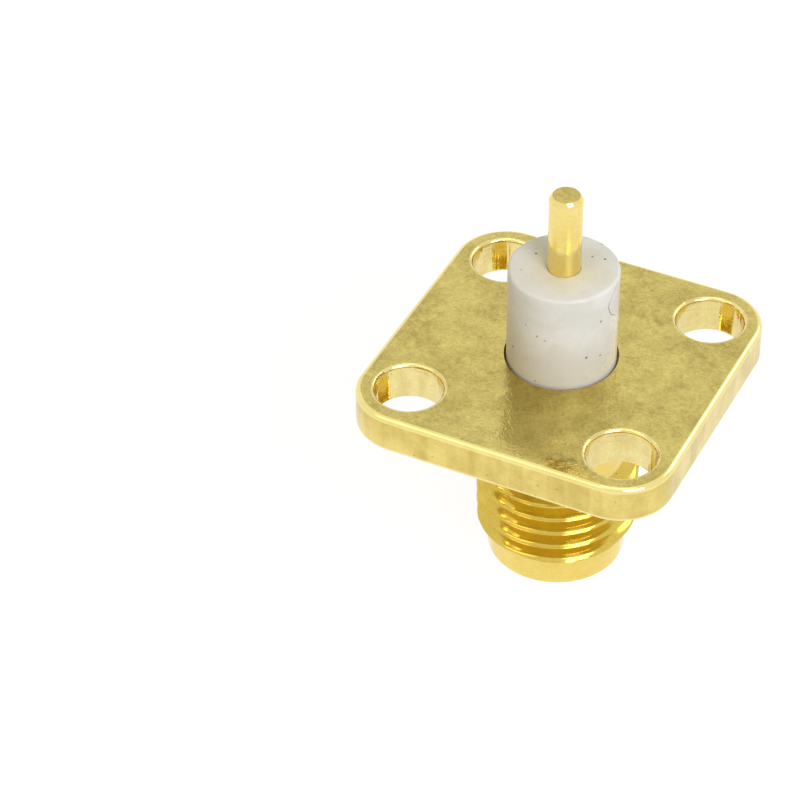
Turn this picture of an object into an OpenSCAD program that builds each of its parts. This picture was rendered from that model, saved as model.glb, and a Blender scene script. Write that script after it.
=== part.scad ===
// Four-hole flange SMA jack, reverse polarity, with an extended insulator
// and a straight solder pin. Millimetres.
// The axis of the barrel is Z. Z = 0 is the rim of the mating end, and +Z
// runs from the mouth, through the flange, to the end of the solder pin.
// The sides of the flange are parallel to X and Y.

/* [Flange] */
// Width and depth of the square flange
flange_w = 12.7; // [11:0.1:18]
// Thickness of the flange
flange_t = 1.6; // [1:0.1:3]
// Radius of the four flange corners
flange_corner_r = 2.1; // [1:0.1:3]
// Chamfer along the edges of both faces
flange_chamfer = 0.12; // [0.05:0.01:0.3]
// Distance from the centre of each screw hole to the two nearest sides
hole_inset = 2.03; // [1.8:0.01:2.4]
// Diameter of the screw holes
hole_d = 2.6; // [1.8:0.1:3]
// Chamfer at both rims of each screw hole
hole_chamfer = 0.1; // [0.05:0.01:0.2]

/* [Barrel] */
// Diameter of the plain neck between flange and thread
neck_d = 5.5; // [5.3:0.05:6]
// Length of the plain neck
neck_len = 3; // [1:0.1:8]
// Major diameter of the coupling thread, 1/4-36
thread_d = 6.35; // [6.1:0.01:7]
// Length of the threaded stretch, with the chamfers at its two ends
thread_len = 3.8; // [2:0.1:8]
// Diameter of the plain nose in front of the thread
nose_d = 5.4; // [5.2:0.05:6]
// Length of the plain nose
nose_len = 1.1; // [0.5:0.1:2]
// Chamfer around the outside of the rim
rim_chamfer = 0.1; // [0.05:0.01:0.15]

/* [Mouth] */
// Diameter of the counterbore in the mating end
mouth_d = 4.6; // [4.45:0.01:4.75]
// Depth of the counterbore, down to the reference plane
mouth_depth = 1.9; // [1.3:0.01:3]
// Chamfer that leads into the counterbore
mouth_chamfer = 0.125; // [0.05:0.005:0.15]
// Chamfer where the insulator's bore opens in the flange
bore_chamfer = 0.08; // [0.02:0.01:0.15]

/* [Insulator] */
// Diameter of the insulator
insulator_d = 4.2; // [3:0.05:4.3]
// Height by which the insulator stands out of the flange
insulator_rise = 4.15; // [1:0.05:15]
// Rounding of the insulator's outer end
insulator_round = 0.18; // [0.05:0.01:0.4]
// Rounding of the insulator's end in the mouth
insulator_face_round = 0.05; // [0.02:0.01:0.2]
// Radial clearance between the insulator and the barrel
insulator_gap = 0.01; // [0.005:0.005:0.03]

/* [Contact] */
// Diameter of the contact inside the insulator
contact_d = 1.27; // [1.1:0.01:1.5]
// Diameter of the solder pin
solder_pin_d = 1.27; // [0.8:0.01:1.5]
// Length of the solder pin beyond the insulator
solder_pin_len = 3.3; // [1:0.1:15]
// Chamfer at the end of the solder pin
solder_pin_chamfer = 0.13; // [0.05:0.01:0.25]
// Diameter of the mating pin in the mouth
mating_pin_d = 0.91; // [0.8:0.01:1]
// Length of the cone at the end of the mating pin
cone_len = 0.42; // [0.2:0.01:0.6]
// Diameter of the small turned nib at the very tip
nib_d = 0.16; // [0.1:0.01:0.3]
// Length of the nib
nib_len = 0.2; // [0.05:0.01:0.3]
// Distance of the tip inside the rim
tip_recess = 0.05; // [0.02:0.01:0.3]
// Diameter across the barb that keeps the contact in the insulator
barb_d = 1.6; // [1.55:0.01:1.9]
// Length of the barb
barb_len = 0.6; // [0.3:0.05:1]
// Depth of the barb below the insulator's outer end
barb_cover = 0.1; // [0.05:0.05:0.5]
// Radial clearance between the contact and the insulator
contact_gap = 0.01; // [0.005:0.005:0.03]

/* [Resolution] */
// Segments around a full circle
segments = 96; // [48:8:160]

/* [Hidden] */
$fn = segments;

// Length by which a cutter runs past the surface that it opens
cut = 0.5;

// Heights along the axis
thread_z = nose_len;
neck_z = thread_z + thread_len;
flange_z = neck_z + neck_len;
flange_back_z = flange_z + flange_t;
insulator_end_z = flange_back_z + insulator_rise;
pin_end_z = insulator_end_z + solder_pin_len;
tip_z = tip_recess;
cone_z = tip_z + nib_len;
barb_end_z = insulator_end_z - barb_cover;
barb_z = barb_end_z - barb_len;

// Distance between neighbouring screw holes: 8.64 on the standard flange
hole_pitch = flange_w - 2 * hole_inset;

// Radii
neck_r = neck_d / 2;
thread_r = thread_d / 2;
nose_r = nose_d / 2;
mouth_r = mouth_d / 2;
insulator_r = insulator_d / 2;
contact_r = contact_d / 2;
solder_pin_r = solder_pin_d / 2;
mating_pin_r = mating_pin_d / 2;
nib_r = nib_d / 2;
barb_r = barb_d / 2;

// The thread's end chamfers are at 45 degrees, down to the neck and the nose
thread_front_chamfer = thread_r - nose_r;
thread_back_chamfer = thread_r - neck_r;

// Section of a round part with both ends chamfered, from its axis outwards
module chamfered_section(r, h, c) {
    polygon([
        [0, 0],
        [r - c, 0],
        [r, c],
        [r, h - c],
        [r - c, h],
        [0, h]
    ]);
}

// Straight bar across the plate: chamfered long edges, square ends
module chamfered_bar(len, w, t, c) {
    rotate([90, 0, 90])
        translate([0, 0, -len / 2])
            linear_extrude(len)
                union() {
                    chamfered_section(w / 2, t, c);
                    mirror([1, 0])
                        chamfered_section(w / 2, t, c);
                }
}

// Square plate with round corners and chamfered edges on both faces
module chamfered_plate(w, t, r, c) {
    chamfered_bar(w - 2 * r, w, t, c);
    rotate([0, 0, 90])
        chamfered_bar(w - 2 * r, w, t, c);
    for (x = [-1, 1], y = [-1, 1])
        translate([x * (w / 2 - r), y * (w / 2 - r), 0])
            rotate_extrude()
                chamfered_section(r, t, c);
}

// Cutter for a through hole with both rims chamfered
module hole_cutter(r, t, c) {
    rotate_extrude()
        polygon([
            [0, -cut],
            [r + c + cut, -cut],
            [r, c],
            [r, t - c],
            [r + c + cut, t + cut],
            [0, t + cut]
        ]);
}

// Outside of the barrel, from the rim up into the flange
module barrel() {
    rotate_extrude()
        polygon([
            [0, 0],
            [nose_r - rim_chamfer, 0],
            [nose_r, rim_chamfer],
            [nose_r, thread_z],
            [thread_r, thread_z + thread_front_chamfer],
            [thread_r, neck_z - thread_back_chamfer],
            [neck_r, neck_z],
            [neck_r, flange_z + flange_t / 2],
            [0, flange_z + flange_t / 2]
        ]);
}

// Cutter for the stepped bore: lead-in, counterbore and insulator bore
module bore_cutter() {
    rotate_extrude()
        polygon([
            [0, -cut],
            [mouth_r + mouth_chamfer + cut, -cut],
            [mouth_r, mouth_chamfer],
            [mouth_r, mouth_depth],
            [insulator_r + insulator_gap, mouth_depth],
            [insulator_r + insulator_gap, flange_back_z - bore_chamfer],
            [insulator_r + insulator_gap + bore_chamfer + cut, flange_back_z + cut],
            [0, flange_back_z + cut]
        ]);
}

// Cutter for the insulator's bore: the contact's own outline inside the
// insulator, wider by the clearance, with the seat of the barb
module contact_bore_cutter() {
    rotate_extrude()
        polygon([
            [0, mouth_depth - cut],
            [contact_r + contact_gap, mouth_depth - cut],
            [contact_r + contact_gap, barb_z],
            [barb_r + contact_gap, barb_z],
            [solder_pin_r + contact_gap, barb_end_z],
            [solder_pin_r + contact_gap, insulator_end_z + cut],
            [0, insulator_end_z + cut]
        ]);
}

// Section of the insulator, with a quarter round at each outer corner
module insulator_section() {
    h = insulator_end_z - mouth_depth;
    square([insulator_r - insulator_round, h]);
    translate([0, insulator_face_round])
        square([insulator_r, h - insulator_face_round - insulator_round]);
    square([insulator_r - insulator_face_round, insulator_round]);
    translate([insulator_r - insulator_round, h - insulator_round])
        circle(insulator_round);
    translate([insulator_r - insulator_face_round, insulator_face_round])
        circle(insulator_face_round);
}

// One turned and milled piece: square flange, neck, thread and nose
module body() {
    color("goldenrod")
        difference() {
            union() {
                translate([0, 0, flange_z])
                    chamfered_plate(flange_w, flange_t, flange_corner_r, flange_chamfer);
                barrel();
            }
            bore_cutter();
            for (x = [-1, 1], y = [-1, 1])
                translate([x * hole_pitch / 2, y * hole_pitch / 2, flange_z])
                    hole_cutter(hole_d / 2, flange_t, hole_chamfer);
        }
}

// Solid insulator, from the bottom of the counterbore to its free end
module insulator() {
    color("white")
        difference() {
            translate([0, 0, mouth_depth])
                rotate_extrude()
                    insulator_section();
            contact_bore_cutter();
        }
}

// One turned contact: mating pin with its cone and nib, the stretch inside
// the insulator with its barb, and the solder pin
module center_contact() {
    color("gold")
        rotate_extrude()
            polygon([
                [0, tip_z],
                [nib_r, tip_z],
                [nib_r, cone_z],
                [mating_pin_r, cone_z + cone_len],
                [mating_pin_r, mouth_depth],
                [contact_r, mouth_depth],
                [contact_r, barb_z],
                [barb_r, barb_z],
                [solder_pin_r, barb_end_z],
                [solder_pin_r, pin_end_z - solder_pin_chamfer],
                [solder_pin_r - solder_pin_chamfer, pin_end_z],
                [0, pin_end_z]
            ]);
}

body();
insulator();
center_contact();
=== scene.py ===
"""Dresses the flange-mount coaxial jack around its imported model.

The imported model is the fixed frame. Its three solids (the turned and milled
body, the insulator rod and the centre contact) are each replaced by a finer
closed mesh of the same form and size: the body gets its helical thread, its
rounded edges and a finish for each machined surface. Sizes are in millimetres
in the classes below and become metres when a mesh is finished. The stage, with
its floor, lamps and camera, is in metres throughout.
"""

import logging
import math
from dataclasses import dataclass, field
from enum import Enum

import bmesh
import bpy
from mathutils import Matrix, Vector


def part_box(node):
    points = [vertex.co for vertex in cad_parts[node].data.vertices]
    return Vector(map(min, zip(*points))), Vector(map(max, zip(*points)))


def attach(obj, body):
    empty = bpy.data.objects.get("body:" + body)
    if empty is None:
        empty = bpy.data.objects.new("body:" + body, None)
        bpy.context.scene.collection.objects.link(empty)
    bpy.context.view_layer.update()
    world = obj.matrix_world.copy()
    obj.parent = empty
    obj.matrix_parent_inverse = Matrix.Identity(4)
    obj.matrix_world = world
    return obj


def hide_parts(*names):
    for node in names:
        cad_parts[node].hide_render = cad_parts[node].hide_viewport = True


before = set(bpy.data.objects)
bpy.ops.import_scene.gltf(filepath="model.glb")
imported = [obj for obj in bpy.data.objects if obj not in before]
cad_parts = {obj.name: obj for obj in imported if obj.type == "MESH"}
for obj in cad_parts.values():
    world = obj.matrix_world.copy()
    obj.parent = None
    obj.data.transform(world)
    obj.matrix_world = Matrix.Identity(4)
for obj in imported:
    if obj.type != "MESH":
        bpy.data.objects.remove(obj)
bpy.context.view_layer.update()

LOG = logging.getLogger("coaxial_jack")

MM = 0.001
FULL_TURN = 2 * math.pi
MERGE_MM = 2e-5
FLAT_FACE_WEIGHT = 80
ROOT_BODY = "root"

Point = tuple[float, float]
Colour = tuple[float, float, float]
Ring = list[bmesh.types.BMVert]


# --------------------------------------------------------------------------
# Node trees
# --------------------------------------------------------------------------


class Graph:
    """Adds nodes to a node tree and joins their sockets."""

    def __init__(self, tree: bpy.types.NodeTree) -> None:
        """Keeps the tree that the nodes go into.

        Args:
            tree: A shader or geometry node tree.
        """
        self.tree = tree

    def add(self, kind: str, inputs: dict | None = None, **settings: object) -> bpy.types.Node:
        """Adds one node.

        Args:
            kind: The node's type, such as "ShaderNodeMath".
            inputs: Socket name or index to a socket to link from, or a value.
            settings: The node's own properties, such as operation.

        Returns:
            The new node.
        """
        node = self.tree.nodes.new(kind)
        for name, value in settings.items():
            setattr(node, name, value)
        for key, value in (inputs or {}).items():
            self.feed(node.inputs[key], value)
        return node

    def feed(self, socket: bpy.types.NodeSocket, value: object) -> None:
        """Links a socket to the given input, or sets its value."""
        if isinstance(value, bpy.types.NodeSocket):
            self.tree.links.new(value, socket)
        else:
            socket.default_value = value

    def math(self, operation: str, *values: object, clamp: bool = False) -> bpy.types.NodeSocket:
        """Adds a Math node.

        Args:
            operation: The node's operation, such as "MULTIPLY".
            values: Up to three sockets or numbers.
            clamp: Whether the result is held between 0 and 1.

        Returns:
            The node's result.
        """
        node = self.add("ShaderNodeMath", dict(enumerate(values)), operation=operation)
        node.use_clamp = clamp
        return node.outputs[0]

    def vector(self, operation: str, *values: object) -> bpy.types.NodeSocket:
        """Adds a Vector Math node and returns its vector result."""
        node = self.add("ShaderNodeVectorMath", dict(enumerate(values)), operation=operation)
        return node.outputs["Vector"]

    def distance(self, place: object, centre: object) -> bpy.types.NodeSocket:
        """Adds the distance between two places."""
        node = self.add("ShaderNodeVectorMath", {0: place, 1: centre}, operation="DISTANCE")
        return node.outputs["Value"]

    def times(self, first: object, second: object) -> bpy.types.NodeSocket:
        """Adds a product."""
        return self.math("MULTIPLY", first, second)

    def plus(self, first: object, second: object) -> bpy.types.NodeSocket:
        """Adds a sum."""
        return self.math("ADD", first, second)

    def minus(self, first: object, second: object) -> bpy.types.NodeSocket:
        """Adds a difference."""
        return self.math("SUBTRACT", first, second)

    def gap(self, value: object, middle: object) -> bpy.types.NodeSocket:
        """Adds how far a value lies from a middle one, on either side."""
        return self.math("ABSOLUTE", self.minus(value, middle))

    def stretch(self, vector: object, x: float, y: float, z: float) -> bpy.types.NodeSocket:
        """Adds a place scaled along each axis, so that a pattern on it runs longer or shorter there."""
        return self.vector("MULTIPLY", vector, (x, y, z))

    def parts(self, vector: object) -> bpy.types.bpy_prop_collection:
        """Splits a vector and returns its X, Y and Z outputs."""
        return self.add("ShaderNodeSeparateXYZ", {0: vector}).outputs

    def bump(self, height: object, depth_mm: float, under: object = None) -> bpy.types.NodeSocket:
        """Adds a bump.

        Args:
            height: The bump's height, from 0 to 1.
            depth_mm: How deep it goes, in millimetres.
            under: The normal of the bump that lies under it, if there is one.

        Returns:
            The bumped normal.
        """
        inputs = {"Strength": 1.0, "Distance": depth_mm * MM, "Height": height}
        if under is not None:
            inputs["Normal"] = under
        return self.add("ShaderNodeBump", inputs).outputs[0]

    def ramp(self, value: object, low: object, high: object) -> bpy.types.NodeSocket:
        """Maps low..high smoothly to 0..1; low may be above high to turn it round."""
        node = self.add(
            "ShaderNodeMapRange",
            {"Value": value, "From Min": low, "From Max": high},
            interpolation_type="SMOOTHSTEP",
        )
        return node.outputs["Result"]

    def noise(self, vector: object, scale: object, detail: float = 2.0,
              roughness: float = 0.5, distortion: float = 0.0) -> bpy.types.NodeSocket:
        """Adds a 3-D noise and returns its grey value."""
        node = self.add(
            "ShaderNodeTexNoise",
            {"Vector": vector, "Scale": scale, "Detail": detail, "Roughness": roughness,
             "Distortion": distortion},
        )
        return node.outputs[0]

    def mix(self, factor: object, first: object, second: object,
            blend: str = "MIX") -> bpy.types.NodeSocket:
        """Adds a colour mix and returns its colour."""
        node = self.add("ShaderNodeMix", data_type="RGBA", blend_type=blend)
        ends = {"Factor_Float": factor, "A_Color": first, "B_Color": second}
        for socket in node.inputs:
            if socket.identifier in ends:
                value = ends[socket.identifier]
                is_rgb = isinstance(value, tuple) and len(value) == 3
                self.feed(socket, (*value, 1.0) if is_rgb else value)
        return next(s for s in node.outputs if s.identifier == "Result_Color")


class ShaderGroup:
    """A shader node group with named inputs and outputs, built once and reused."""

    def __init__(self, name: str) -> None:
        """Starts an empty group.

        Args:
            name: The group's name.
        """
        self.tree = bpy.data.node_groups.new(name, "ShaderNodeTree")
        self.graph = Graph(self.tree)
        self.source = self.tree.nodes.new("NodeGroupInput")
        self.sink = self.tree.nodes.new("NodeGroupOutput")

    def takes(self, name: str, kind: str = "NodeSocketFloat",
              default: object = None) -> bpy.types.NodeSocket:
        """Adds a named input and returns the socket to read it from."""
        socket = self.tree.interface.new_socket(name, in_out="INPUT", socket_type=kind)
        if default is not None:
            socket.default_value = default
        return self.source.outputs[name]

    def gives(self, name: str, value: bpy.types.NodeSocket) -> None:
        """Adds a named output that carries the value."""
        self.tree.interface.new_socket(name, in_out="OUTPUT", socket_type="NodeSocketFloat")
        self.graph.tree.links.new(value, self.sink.inputs[name])

    def place(self, graph: Graph, inputs: dict) -> bpy.types.Node:
        """Puts the group into a material.

        Args:
            graph: The material's graph.
            inputs: The group's input names to values or sockets.

        Returns:
            The group node, with the group's outputs.
        """
        node = graph.add("ShaderNodeGroup", node_tree=self.tree)
        for name, value in inputs.items():
            graph.feed(node.inputs[name], value)
        return node


# Noise values between which each mark fades in.
CLOUD_FADE = (0.34, 0.66)
BLOT_FADE = (0.36, 0.64)
STROKE_FADE = (0.38, 0.62)
PATCH_FADE = (0.4, 0.6)
FLAT_FADE = (0.35, 0.65)

# Scales of the mottling against the scale of the clouds, and the lie of its strokes.
STROKE_TIMES, BLOT_TIMES, PATCH_TIMES = 11.0, 5.0, 1.1
STROKE_TURN = (0.0, 0.0, -0.4)
STROKE_STRETCH = (0.6, 1.0, 1.0)

# A pit's core against its rim, and how many cells stay free of pits.
PIT_CORE, PIT_FREE = 0.45, 0.45

# Shift, scale and lowest noise value of each layer of scratches, and their swirls and breaks.
SCRATCH_LAYERS = ((0.0, 1.0, 0.58), (31.0, 1.6, 0.6), (73.0, 2.3, 0.62))
SWIRL_TIMES, BREAK_TIMES = 0.5, 0.9
SCRATCH_HALF_WIDTH = 0.009
SCRATCH_FADE = 0.12

# Scales of each tool's slower marks against the scale of its fine ones.
BAND_TIMES, WAVE_TIMES, FLAT_TIMES = 0.18, 0.34, 0.42

# The deeper feed grooves of a drill, against the fine rings between them.
GROOVE_HALF_WIDTH, GROOVE_DEPTH = 0.02, 0.9


def handling_group() -> ShaderGroup:
    """Builds what handling and plating leave on any surface.

    Returns:
        A group that gives slow cloudiness, fine mottling, small dark pits and
        short curved scratches.
    """
    group = ShaderGroup("handling_marks")
    graph = group.graph
    place = group.takes("Position", "NodeSocketVector")
    cloud_scale = group.takes("Cloud Scale", default=0.8)
    pit_scale = group.takes("Pit Scale", default=2.6)
    pit_size = group.takes("Pit Size", default=0.16)
    scratch_scale = group.takes("Scratch Scale", default=2.2)

    broad = graph.noise(place, cloud_scale, detail=4.0, roughness=0.62)
    group.gives("Cloud", graph.ramp(broad, *CLOUD_FADE))
    streaky = graph.add(
        "ShaderNodeMapping", {"Vector": place, "Rotation": STROKE_TURN, "Scale": STROKE_STRETCH}
    ).outputs[0]
    stroke_scale = graph.times(cloud_scale, STROKE_TIMES)
    strokes = graph.noise(streaky, stroke_scale, detail=4.0, roughness=0.7, distortion=1.4)
    blot_scale = graph.times(cloud_scale, BLOT_TIMES)
    blots = graph.noise(place, blot_scale, detail=5.0, roughness=0.78, distortion=0.8)
    patches = graph.noise(place, graph.times(cloud_scale, PATCH_TIMES), detail=2.0)
    round_marks, long_marks = graph.ramp(blots, *BLOT_FADE), graph.ramp(strokes, *STROKE_FADE)
    spread = graph.times(graph.minus(long_marks, round_marks), graph.ramp(patches, *PATCH_FADE))
    group.gives("Mottle", graph.plus(round_marks, spread))

    cells = graph.add("ShaderNodeTexVoronoi", {"Vector": place, "Scale": pit_scale})
    pick = graph.add("ShaderNodeSeparateColor", {"Color": cells.outputs["Color"]})
    own_size = graph.times(pit_size, pick.outputs[0])
    inside = graph.ramp(cells.outputs["Distance"], own_size, graph.times(own_size, PIT_CORE))
    group.gives("Pits", graph.times(inside, graph.math("GREATER_THAN", pick.outputs[1], PIT_FREE)))

    scratches = None
    for shift, size, window in SCRATCH_LAYERS:
        moved = graph.vector("ADD", place, (shift, -shift, shift))
        scale = graph.times(scratch_scale, size)
        swirl = graph.noise(moved, graph.times(scale, SWIRL_TIMES), detail=1.0)
        line = graph.ramp(graph.gap(swirl, 0.5), SCRATCH_HALF_WIDTH, 0.0)
        patch = graph.noise(moved, graph.times(scale, BREAK_TIMES), detail=0.0)
        part = graph.times(line, graph.ramp(patch, window, window + SCRATCH_FADE))
        scratches = part if scratches is None else graph.math("MAXIMUM", scratches, part)
    group.gives("Scratches", scratches)
    return group


def turned_group() -> ShaderGroup:
    """Builds the rings that a lathe tool leaves around the part's axis.

    Returns:
        A group that gives the rings' fine height and a slower banding.
    """
    group = ShaderGroup("turned_rings")
    graph = group.graph
    place = group.takes("Position", "NodeSocketVector")
    scale = group.takes("Scale", default=14.0)
    x, y, z = graph.parts(place)
    across = graph.math("SQRT", graph.plus(graph.times(x, x), graph.times(y, y)))
    section = graph.add("ShaderNodeCombineXYZ", {0: across, 1: z, 2: 0.0}).outputs[0]
    group.gives("Rings", graph.noise(section, scale, detail=3.0, roughness=0.7))
    group.gives("Bands", graph.noise(section, graph.times(scale, BAND_TIMES), detail=1.0))
    return group


def milled_group() -> ShaderGroup:
    """Builds the marks of an end mill that ran round the edge of the flange.

    Returns:
        A group that gives fine lines along the part's axis and a slower waviness.
    """
    group = ShaderGroup("milled_lines")
    graph = group.graph
    place = group.takes("Position", "NodeSocketVector")
    scale = group.takes("Scale", default=9.0)
    flat = graph.stretch(place, 1.0, 1.0, 0.06)
    group.gives("Lines", graph.noise(flat, scale, detail=3.0, roughness=0.65))
    waves = graph.noise(flat, graph.times(scale, WAVE_TIMES), detail=2.0, roughness=0.6)
    group.gives("Waves", graph.ramp(waves, *BLOT_FADE))
    return group


def drilled_group() -> ShaderGroup:
    """Builds the marks of a drill: fine rings down the wall and slow flats along it.

    Returns:
        A group that gives the rings' height and the flats' slower waviness.
    """
    group = ShaderGroup("drilled_rings")
    graph = group.graph
    place = group.takes("Position", "NodeSocketVector")
    scale = group.takes("Scale", default=5.0)
    level = graph.stretch(place, 0.22, 0.22, 1.0)
    rings = graph.noise(level, scale, detail=3.0, roughness=0.6, distortion=0.3)
    course = graph.noise(graph.stretch(place, 0.05, 0.05, 0.5), scale, detail=0.0)
    groove = graph.ramp(graph.gap(course, 0.5), GROOVE_HALF_WIDTH, 0.0)
    upright = graph.stretch(place, 1.0, 1.0, 0.12)
    flats = graph.noise(upright, graph.times(scale, FLAT_TIMES), detail=2.0, roughness=0.6)
    group.gives("Rings", graph.math("MULTIPLY_ADD", groove, -GROOVE_DEPTH, rings))
    group.gives("Flats", graph.ramp(flats, *FLAT_FADE))
    return group


class Effects:
    """The shader groups that the finishes share."""

    def __init__(self) -> None:
        """Builds each group once."""
        self.handling = handling_group()
        self.turned = turned_group()
        self.milled = milled_group()
        self.drilled = drilled_group()


# --------------------------------------------------------------------------
# Finishes
# --------------------------------------------------------------------------


# The one smudge: how ragged its edge is and how finely, where it ends and is full, its strength.
SMUDGE_RAGGED_MM = 1.7
SMUDGE_SCALE = 3.6
SMUDGE_EDGE_MM = (1.55, 0.9)
SMUDGE_STRENGTH = 0.7


class Surface:
    """A new material with its graph, its shader's inputs and the place on the part."""

    def __init__(self, name: str) -> None:
        """Makes the material.

        Args:
            name: The material's name.
        """
        self.material = bpy.data.materials.new(name)
        self.material.use_nodes = True
        self.graph = Graph(self.material.node_tree)
        self.shader = self.material.node_tree.nodes["Principled BSDF"].inputs
        metres = self.graph.add("ShaderNodeTexCoord").outputs["Object"]
        self.place = self.graph.stretch(metres, 1 / MM, 1 / MM, 1 / MM)


class Machining(Enum):
    """How a metal surface was cut."""

    TUMBLED = "tumbled"
    TURNED = "turned"
    MILLED = "milled"
    DRILLED = "drilled"


@dataclass(frozen=True)
class Plating:
    """Gold plating over a machined brass surface.

    The colours are the plating where it is cleanest and where it is dullest,
    and the stain colour fills its pits.
    """

    name: str
    machining: Machining
    clean: Colour
    dull: Colour
    stain: Colour = (0.16, 0.10, 0.03)
    bare: Colour = (0.95, 0.87, 0.52)
    roughness: float = 0.16
    roughness_spread: float = 0.08
    stain_strength: float = 0.6
    grain_scale: float = 14.0
    grain_depth_mm: float = 0.0006
    wave_scale: float = 0.9
    wave_depth_mm: float = 0.0
    scratch_depth_mm: float = 0.0008
    scratch_shine: float = 0.3
    cloud_scale: float = 0.8
    cloud_tone: float = 0.35
    slow_tone: float = 0.25
    mottle: float = 0.4
    pit_size: float = 0.14
    pit_roughness: float = 0.25
    scratch_roughness: float = 0.04
    smudge_mm: tuple[float, float, float] | None = None

    def material(self, effects: Effects) -> bpy.types.Material:
        """Builds the material.

        Args:
            effects: The shared shader groups.

        Returns:
            A new node material.
        """
        surface = Surface(self.name)
        graph, shader, place = surface.graph, surface.shader, surface.place
        marks = effects.handling.place(
            graph, {"Position": place, "Pit Size": self.pit_size, "Cloud Scale": self.cloud_scale}
        ).outputs
        grain, slow = self.grain(graph, effects, place)

        tone = graph.math("MULTIPLY_ADD", slow, self.slow_tone, graph.times(marks["Cloud"], self.cloud_tone))
        tone = graph.math("MULTIPLY_ADD", marks["Mottle"], self.mottle, tone)
        colour = graph.mix(tone, self.clean, self.dull)
        lit = graph.mix(graph.times(marks["Scratches"], self.scratch_shine), colour, self.bare)
        stained = graph.times(marks["Pits"], self.stain_strength)
        if self.smudge_mm is not None:
            stained = graph.math("MAXIMUM", stained, self.smudge(graph, place))
        graph.feed(shader["Base Color"], graph.mix(stained, lit, self.stain))

        uneven = graph.math("MULTIPLY_ADD", tone, self.roughness_spread, self.roughness)
        scuffed = graph.math("MULTIPLY_ADD", marks["Scratches"], self.scratch_roughness, uneven)
        rough = graph.math("MULTIPLY_ADD", marks["Pits"], self.pit_roughness, scuffed, clamp=True)
        graph.feed(shader["Roughness"], rough)

        wavy = graph.bump(slow, self.wave_depth_mm, graph.bump(grain, self.grain_depth_mm))
        unmarked = graph.minus(1.0, graph.math("MAXIMUM", marks["Scratches"], marks["Pits"]))
        graph.feed(shader["Normal"], graph.bump(unmarked, self.scratch_depth_mm, wavy))
        shader["Metallic"].default_value = 1.0
        return surface.material

    def smudge(self, graph: Graph, place: bpy.types.NodeSocket) -> bpy.types.NodeSocket:
        """Adds the nodes of one ragged brown smudge.

        Args:
            graph: The material's graph.
            place: The position on the part, in millimetres.

        Returns:
            How much of the stain colour shows.
        """
        away = graph.distance(place, self.smudge_mm)
        ragged = graph.noise(place, SMUDGE_SCALE, detail=4.0, roughness=0.75, distortion=0.6)
        edge = graph.math("MULTIPLY_ADD", ragged, SMUDGE_RAGGED_MM, away)
        return graph.times(graph.ramp(edge, *SMUDGE_EDGE_MM), SMUDGE_STRENGTH)

    def grain(self, graph: Graph, effects: Effects,
              place: bpy.types.NodeSocket) -> tuple[bpy.types.NodeSocket, bpy.types.NodeSocket]:
        """Picks the tool marks for this surface.

        Args:
            graph: The material's graph.
            effects: The shared shader groups.
            place: The position on the part, in millimetres.

        Returns:
            The fine height and the slow variation of the tool marks.
        """
        if self.machining is Machining.TUMBLED:
            fine = graph.noise(place, self.grain_scale, detail=2.0, roughness=0.6, distortion=0.6)
            return fine, graph.noise(place, self.wave_scale, detail=3.0, roughness=0.6)
        tools = {
            Machining.TURNED: effects.turned,
            Machining.MILLED: effects.milled,
            Machining.DRILLED: effects.drilled,
        }
        marks = tools[self.machining].place(graph, {"Position": place, "Scale": self.grain_scale})
        return marks.outputs[0], marks.outputs[1]


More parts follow.
